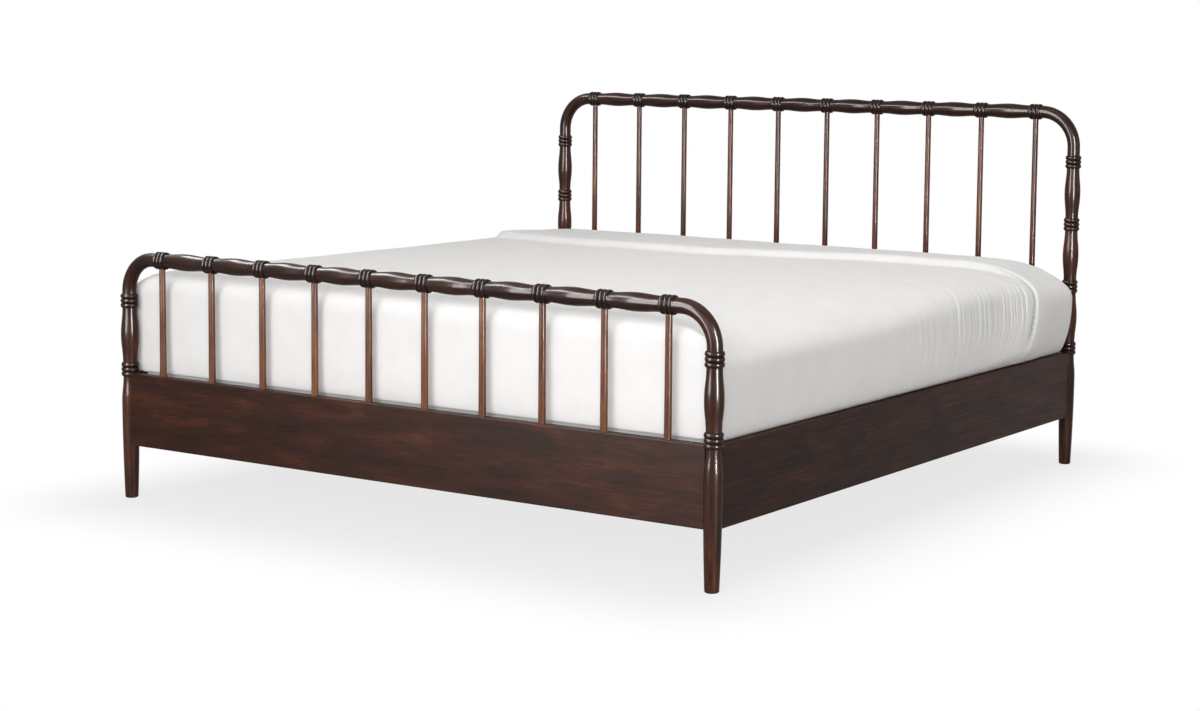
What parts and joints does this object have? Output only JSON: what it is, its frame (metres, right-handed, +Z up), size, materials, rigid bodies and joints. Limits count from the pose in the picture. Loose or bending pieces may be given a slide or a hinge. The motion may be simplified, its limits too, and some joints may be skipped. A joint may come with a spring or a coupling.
{
  "type": "bed",
  "caption": "Bed with turned spindle headboard and footboard, bent corner elbows, plank side rails, slatted deck on levelling centre legs, and a lift-off mattress in a fitted sheet.",
  "frame": {"origin": "middle of the bed's outline on the floor", "axes": "+X to the right seen from the foot, +Y from the foot to the head, +Z up"},
  "size_m": [2.035, 2.17, 1.1484],
  "materials": {
    "stained_wood": "dark walnut stain under satin lacquer",
    "pine": "planed, bare",
    "beech": "fluted dowel, bare",
    "zinc_steel": "zinc plated",
    "brass": "turned",
    "black_plastic": "matte moulded",
    "mattress_ticking": "white knitted ticking",
    "white_sheet": "white woven cotton, matte"
  },
  "bodies": {
    "frame": {"beam_hangers": "zinc_steel", "bracket_screws": "zinc_steel", "centre_beam": "pine", "centre_leg_1": "pine", "centre_leg_2": "pine", "centre_leg_3": "pine", "cleat_screws": "zinc_steel", "corner_brackets": "zinc_steel", "elbow_dowels": "beech", "footboard_elbow_left": "stained_wood", "footboard_elbow_right": "stained_wood", "footboard_panel": "stained_wood", "footboard_post_left": "stained_wood", "footboard_post_right": "stained_wood", "footboard_spindle_01": "stained_wood", "footboard_spindle_02": "stained_wood", "footboard_spindle_03": "stained_wood", "footboard_spindle_04": "stained_wood", "footboard_spindle_05": "stained_wood", "footboard_spindle_06": "stained_wood", "footboard_spindle_07": "stained_wood", "footboard_spindle_08": "stained_wood", "footboard_spindle_09": "stained_wood", "footboard_spindle_10": "stained_wood", "footboard_top_rail": "stained_wood", "hanger_screws": "zinc_steel", "headboard_elbow_left": "stained_wood", "headboard_elbow_right": "stained_wood", "headboard_panel": "stained_wood", "headboard_post_left": "stained_wood", "headboard_post_right": "stained_wood", "headboard_spindle_01": "stained_wood", "headboard_spindle_02": "stained_wood", "headboard_spindle_03": "stained_wood", "headboard_spindle_04": "stained_wood", "headboard_spindle_05": "stained_wood", "headboard_spindle_06": "stained_wood", "headboard_spindle_07": "stained_wood", "headboard_spindle_08": "stained_wood", "headboard_spindle_09": "stained_wood", "headboard_spindle_10": "stained_wood", "headboard_top_rail": "stained_wood", "leg_bolts": "zinc_steel", "leg_inserts": "brass", "panel_dowels": "beech", "rail_dowels": "beech", "side_rail_left": "stained_wood", "side_rail_right": "stained_wood", "slat_cleat_left": "pine", "slat_cleat_right": "pine", "slat_screws": "zinc_steel", "slats": "pine"},
    "mattress": {"mattress": "mattress_ticking", "fitted_sheet": "white_sheet"},
    "leveller_pad_1": {"leveller_pad_1": "black_plastic"},
    "leveller_stud_1": {"leveller_stud_1": "zinc_steel"},
    "leveller_pad_2": {"leveller_pad_2": "black_plastic"},
    "leveller_stud_2": {"leveller_stud_2": "zinc_steel"},
    "leveller_pad_3": {"leveller_pad_3": "black_plastic"},
    "leveller_stud_3": {"leveller_stud_3": "zinc_steel"}
  },
  "joints": [
    {"name": "mattress_lift", "type": "slide", "parent": "frame", "child": "mattress", "axis": [0, 0, 1], "range_m": [0, 0.45]},
    {"name": "leveller_raise_1", "type": "slide", "parent": "frame", "child": "leveller_pad_1", "axis": [0, 0, 1], "range_m": [0, 0.012]},
    {"name": "leveller_turn_1", "type": "hinge", "parent": "leveller_pad_1", "child": "leveller_stud_1", "pos_m": [0, -0.38, 0], "axis": [0, 0, 1], "range_deg": [0, 3474]},
    {"name": "leveller_raise_2", "type": "slide", "parent": "frame", "child": "leveller_pad_2", "axis": [0, 0, 1], "range_m": [0, 0.012]},
    {"name": "leveller_turn_2", "type": "hinge", "parent": "leveller_pad_2", "child": "leveller_stud_2", "pos_m": [0, 0, 0], "axis": [0, 0, 1], "range_deg": [0, 3474]},
    {"name": "leveller_raise_3", "type": "slide", "parent": "frame", "child": "leveller_pad_3", "axis": [0, 0, 1], "range_m": [0, 0.012]},
    {"name": "leveller_turn_3", "type": "hinge", "parent": "leveller_pad_3", "child": "leveller_stud_3", "pos_m": [0, 0.38, 0], "axis": [0, 0, 1], "range_deg": [0, 3474]}
  ],
  "couplings": [
    {"joint": "leveller_turn_1", "follows": "leveller_raise_1", "rad_per_m": 5026.5},
    {"joint": "leveller_turn_2", "follows": "leveller_raise_2", "rad_per_m": 5026.5},
    {"joint": "leveller_turn_3", "follows": "leveller_raise_3", "rad_per_m": 5026.5}
  ]
}
